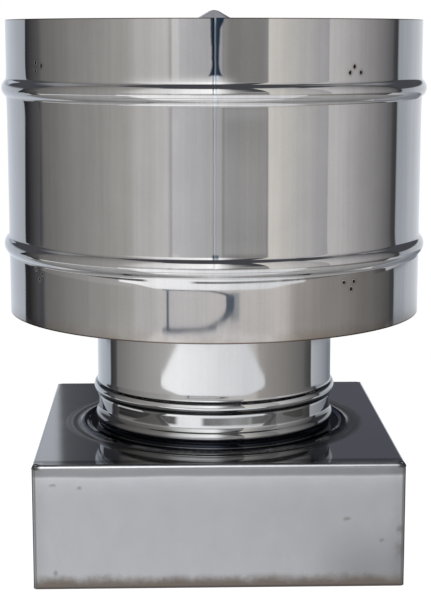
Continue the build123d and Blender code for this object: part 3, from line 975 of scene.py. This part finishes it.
lower_brackets = made_by(RING, bracket_mesh("lower_strip", lower_path), "lower_brackets",
                         {"Count": 4, "Turn": BRACKET_TURN, "Finish": strip_finish})

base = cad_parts["base_box"]
for slot in base.material_slots:
    slot.material = base_finish

PLACES = [
    (drum, ["drum_shell"], "drum_steel"),
    (neck, ["neck_tube"], "neck_steel"),
    (collar, ["base_collar"], "neck_steel"),
    (upper_cone, ["hat_upper_cone"], "hat_steel"),
    (lower_cone, ["hat_lower_cone"], "hat_steel"),
    (upper_brackets, [f"upper_bracket_{n}" for n in range(1, 5)], "strip_steel"),
    (lower_brackets, [f"lower_bracket_{n}" for n in range(1, 5)], "strip_steel"),
]
for piece, nodes, slot_name in PLACES:
    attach(piece, "root")
    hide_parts(*nodes)

# Studio

FLOOR_R = 0.55
FLOOR_DROP = 0.3 * MM
FLOOR_STEPS = 96
FLOOR_GLOW = 0.86
SPREAD_HEIGHT = 1.5      # a panel that widens does so over this many degrees below its top


# What the steel mirrors. Azimuth runs from the front towards the right and elevation is above the
# horizon, both in degrees. Each panel fades from its left colour to its right colour, and a later
# panel covers an earlier one. (azimuth span, elevation span, softness, left colour, right colour,
# and for some the lean and the spread)
PANELS = {
    "floor": ((-181, 181), (-91, -15), (1, 2), (0.80, 0.81, 0.83), (0.80, 0.81, 0.83)),
    "above_left": ((-181, -100), (35, 91), (8, 6), (0.42, 0.43, 0.46), (0.30, 0.31, 0.33)),
    "above_right": ((100, 181), (35, 91), (8, 6), (0.30, 0.31, 0.33), (0.42, 0.43, 0.46)),
    "plate_right": ((160, 181), (9, 30), (2, 4), (0.155, 0.16, 0.19), (0.155, 0.16, 0.19)),
    "plate_left": ((-177.7, -175.8), (9, 30), (0.3, 4), (0.08, 0.09, 0.11), (0.165, 0.17, 0.185)),
    "plate_edge": ((-175.8, -150), (9, 30), (0.15, 4), (0.76, 0.80, 0.86), (0.54, 0.60, 0.70)),
    "left_back": ((-181, -124), (-40, 8), (1, 4), (0.84, 0.90, 1.00), (0.47, 0.51, 0.57)),
    "left_flag": ((-125, -108), (-11, 40), (0.6, 0.3), (0.03, 0.03, 0.035), (0.14, 0.14, 0.145), 0.65),
    "left_near": ((-121.5, -112), (-40, -11), (0.6, 0.3), (0.05, 0.05, 0.055), (0.10, 0.10, 0.10)),
    "left_wall": ((-109, -42), (-16, 60), (2, 2), (0.19, 0.185, 0.18), (0.53, 0.52, 0.51)),
    "left_lit": ((-45, -24), (-16, 54), (3, 2), (0.62, 0.61, 0.61), (0.74, 0.73, 0.74)),
    "left_low": ((-112, -40), (-15, -11), (2, 0.2), (0.23, 0.225, 0.22), (0.62, 0.61, 0.60)),
    "front": ((-24, 3), (-10, 54), (1, 3), (0.70, 0.70, 0.73), (0.52, 0.52, 0.54)),
    "front_upper": ((0, 17), (10, 42), (5, 9), (0.62, 0.62, 0.64), (0.26, 0.26, 0.26)),
    "front_dark": ((3, 27), (-10, 22), (1.5, 4), (0.44, 0.44, 0.45), (0.42, 0.42, 0.42)),
    "front_shade": ((4, 27), (-3, 12), (4, 2), (0.28, 0.28, 0.28), (0.31, 0.31, 0.31)),
    "front_gleam": ((-23.5, -20), (-3, 9), (1, 2), (0.82, 0.82, 0.83), (0.82, 0.82, 0.83)),
    "front_high": ((-47, 4), (4, 52), (9, 4), (0.85, 0.85, 0.86), (1.55, 1.57, 1.60)),
    "window": ((27, 61.5), (-10, 57), (0.6, 3), (0.86, 0.84, 0.80), (0.49, 0.49, 0.52)),
    "right_wall": ((61.5, 113), (-10, 50), (0.8, 3), (0.74, 0.73, 0.74), (0.11, 0.11, 0.12)),
    "right_low": ((34, 113), (-22, -8.2), (8, 0.5), (0.50, 0.47, 0.45), (0.10, 0.10, 0.10)),
    "right_flag": ((111, 116.3), (-11, 40), (1.5, 0.3), (0.085, 0.085, 0.09), (0.06, 0.06, 0.065)),
    "right_back": ((116.3, 181), (-11, 8), (1.0, 2), (0.42, 0.46, 0.52), (0.93, 0.96, 1.00)),
    "right_near": ((97, 108), (-40, -11), (2, 0.3), (0.14, 0.14, 0.14), (0.07, 0.07, 0.07)),
    "right_pale": ((108, 150), (-40, -11), (1, 0.3), (0.62, 0.65, 0.70), (0.22, 0.24, 0.28)),
    "right_far": ((150, 181), (-40, -11), (1, 0.3), (0.22, 0.24, 0.28), (0.30, 0.33, 0.38)),
    "front_low": ((-27, 40), (-14, -8.3), (4, 0.2), (0.70, 0.69, 0.71), (0.70, 0.67, 0.65)),
    "front_floor": ((-33.5, 28), (-60, -11.0), (1.2, 0.15), (1.30, 1.32, 1.36), (0.94, 0.96, 1.00), 0, 14),
    "board_blur": ((7, 12), (-10.4, -9.4), (1.2, 0.15), (0.30, 0.32, 0.35), (0.46, 0.47, 0.48)),
    "collar_left": ((-112, -39), (-14.8, -13.55), (3, 0.15), (0.02, 0.02, 0.025), (0.135, 0.133, 0.13)),
    "collar_front": ((-13, 34), (-14.8, -13.55), (3, 0.15), (0.20, 0.20, 0.21), (0.36, 0.36, 0.36)),
    "collar_right": ((34, 97), (-14.8, -13.55), (3, 0.15), (0.27, 0.26, 0.26), (0.08, 0.08, 0.08)),
    "under_left": ((-130, -48), (-91, -21.5), (4, 2), (0.22, 0.22, 0.23), (0.60, 0.60, 0.61)),
    "under_right": ((48, 130), (-91, -21.5), (4, 2), (0.60, 0.60, 0.61), (0.22, 0.22, 0.23)),
    "floor_line": ((-70, 70), (-47, -43), (4, 1), (0.28, 0.28, 0.29), (0.28, 0.28, 0.29)),
}
SKY = (0.083, 0.086, 0.100)

# A board whose dark rim the drum mirrors: its middle (azimuth, elevation), reaches and lean, in degrees
BOARD_MIDDLE = (-8.0, -10.05)
BOARD_LEFT = 19.5
BOARD_RIGHT = 15.0
BOARD_HALF_HEIGHT = 0.74
BOARD_LEAN = 4.5
BOARD_GREY = (0.11, 0.14, 0.18, 1)


def panel_group():
    """One soft-edged panel laid over a colour. It can lean, and it can widen just below its top."""
    tree, start, end = new_group("Panel", "ShaderNodeTree", [
        ("Colour", COLOUR, None),
        ("Azimuth", NUMBER, 0.0),
        ("Elevation", NUMBER, 0.0),
        ("From", NUMBER, 0.0),
        ("To", NUMBER, 0.0),
        ("Low", NUMBER, 0.0),
        ("High", NUMBER, 0.0),
        ("Side softness", NUMBER, 1.0),
        ("End softness", NUMBER, 1.0),
        ("Lean", NUMBER, 0.0),
        ("Spread", NUMBER, 0.0),
        ("Left", COLOUR, None),
        ("Right", COLOUR, None),
    ], [("Colour", COLOUR)])
    azimuth, elevation, left, right, low, high, side, top, lean, spread = tree.rules(
        start, "Azimuth", "Elevation", "From", "To", "Low", "High", "Side softness", "End softness", "Lean",
        "Spread")
    upright = azimuth - lean * elevation
    wider = tree.smaller(tree.larger(high - elevation, 0.0), SPREAD_HEIGHT) * spread
    start_edge = left - wider
    end_edge = right + wider
    across = tree.step(upright, start_edge - side, start_edge + side)
    across = across * tree.within(upright, end_edge - side, end_edge + side)
    up = tree.step(elevation, low - top, low + top) * tree.within(elevation, high - top, high + top)
    along_it = tree.smaller(tree.larger((azimuth - left) / (right - left), 0.0), 1.0)
    tone = tree.blend(along_it, start.outputs["Left"], start.outputs["Right"])
    tree.join(end.inputs["Colour"], tree.blend(across * up, start.outputs["Colour"], tone))
    return tree.tree


def world_light():
    """The studio round the cowl, seen only in the steel. What the camera sees is plain white."""
    world = bpy.data.worlds.new("studio")
    bpy.context.scene.world = world
    tree = emptied(world)
    where = tree.node("ShaderNodeTexCoord")
    part = tree.node("ShaderNodeSeparateXYZ", Vector=where.outputs["Generated"])
    x, y, z = tree.rules(part, "X", "Y", "Z")
    azimuth = tree.math("ARCTAN2", x, -1 * y) * (180 / pi)
    elevation = tree.math("ARCSINE", z) * (180 / pi)
    group = panel_group()
    colour = (*SKY, 1)
    for name, (sides, ends, softness, left, right, *bend) in PANELS.items():
        lean, spread = (bend + [0, 0])[:2]
        panel = tree.node("ShaderNodeGroup", {"node_tree": group, "label": name}, Colour=colour,
                          Azimuth=azimuth, Elevation=elevation, From=sides[0], To=sides[1],
                          Low=ends[0], High=ends[1], Side_softness=softness[0],
                          End_softness=softness[1], Lean=lean, Spread=spread,
                          Left=(*left, 1), Right=(*right, 1))
        colour = panel.outputs["Colour"]
    colour = tree.blend(board_edge(tree, azimuth, elevation), colour, BOARD_GREY)
    seen = tree.node("ShaderNodeLightPath")
    colour = tree.blend(seen.outputs["Is Camera Ray"], colour, WHITE)
    back = tree.node("ShaderNodeBackground", Color=colour, Strength=1.0)
    out = tree.node("ShaderNodeOutputWorld")
    tree.join(out.inputs["Surface"], back.outputs[0])


def board_edge(tree, azimuth, elevation):
    """Mask of the dark rim of a board that leans in front, square on its left and round on its right.
    Reach is 1 at the board's outline."""
    rise = (elevation - BOARD_MIDDLE[1]) / BOARD_HALF_HEIGHT
    from_middle = azimuth - BOARD_MIDDLE[0]
    right = tree.larger(from_middle - rise * BOARD_LEAN, 0.0) / BOARD_RIGHT
    left = tree.larger(-1 * from_middle, 0.0) / BOARD_LEFT
    up = tree.size(rise)
    round_side = (right * right + up * up) ** 0.5
    reach = tree.larger(tree.larger(left, round_side), up)
    half = tree.smaller(right, 1.0) * 0.12 + tree.step(up, 0.75, 0.95) * 0.13 + 0.03
    away = tree.size(reach - 0.95)
    return tree.within(away, half - 0.035, half + 0.035)


world_light()


def floor():
    """The white floor. Only the camera sees it, and only from above."""
    mesh = bpy.data.meshes.new("floor")
    turns = [2 * pi * i / FLOOR_STEPS for i in range(FLOOR_STEPS)]
    ring = [(FLOOR_R * cos(turn), FLOOR_R * sin(turn), -FLOOR_DROP) for turn in turns]
    mesh.from_pydata(ring, [], [list(range(FLOOR_STEPS))])
    ground = new_object("floor", mesh)
    material = bpy.data.materials.new("floor")
    tree = emptied(material)
    seen = tree.node("ShaderNodeLightPath")
    white = tree.node("ShaderNodeBsdfPrincipled", Roughness=0.8)
    white.inputs["Base Color"].default_value = (0.8, 0.8, 0.8, 1)
    white.inputs["Emission Color"].default_value = WHITE
    white.inputs["Emission Strength"].default_value = FLOOR_GLOW
    clear = tree.node("ShaderNodeBsdfTransparent")
    shader = tree.node("ShaderNodeMixShader")
    behind = tree.rule(tree.node("ShaderNodeNewGeometry").outputs["Backfacing"])
    tree.join(shader.inputs[0], (1 - behind) * tree.rule(seen.outputs["Is Camera Ray"]))
    tree.join(shader.inputs[1], clear.outputs[0])
    tree.join(shader.inputs[2], white.outputs[0])
    out = tree.node("ShaderNodeOutputMaterial")
    tree.join(out.inputs["Surface"], shader.outputs[0])
    mesh.materials.append(material)


floor()

# The camera stands where the photo was taken from. It looks down and a little to the right, by angles
# in radians.
CAMERA_LENS = 93.37
CAMERA_SENSOR = 36
CAMERA_PLACE = (-0.0384, -1.3521, 0.4401)
CAMERA_DOWN = 0.1681
CAMERA_RIGHT = 0.0293

camera_data = bpy.data.cameras.new("camera")
camera_data.lens = CAMERA_LENS
camera_data.sensor_width = CAMERA_SENSOR
camera_data.clip_start = 0.05
camera = bpy.data.objects.new("camera", camera_data)
camera.location = CAMERA_PLACE
camera.rotation_euler = (pi / 2 - CAMERA_DOWN, 0, -CAMERA_RIGHT)
bpy.context.scene.collection.objects.link(camera)
bpy.context.scene.camera = camera
bpy.context.scene.view_settings.view_transform = "Standard"
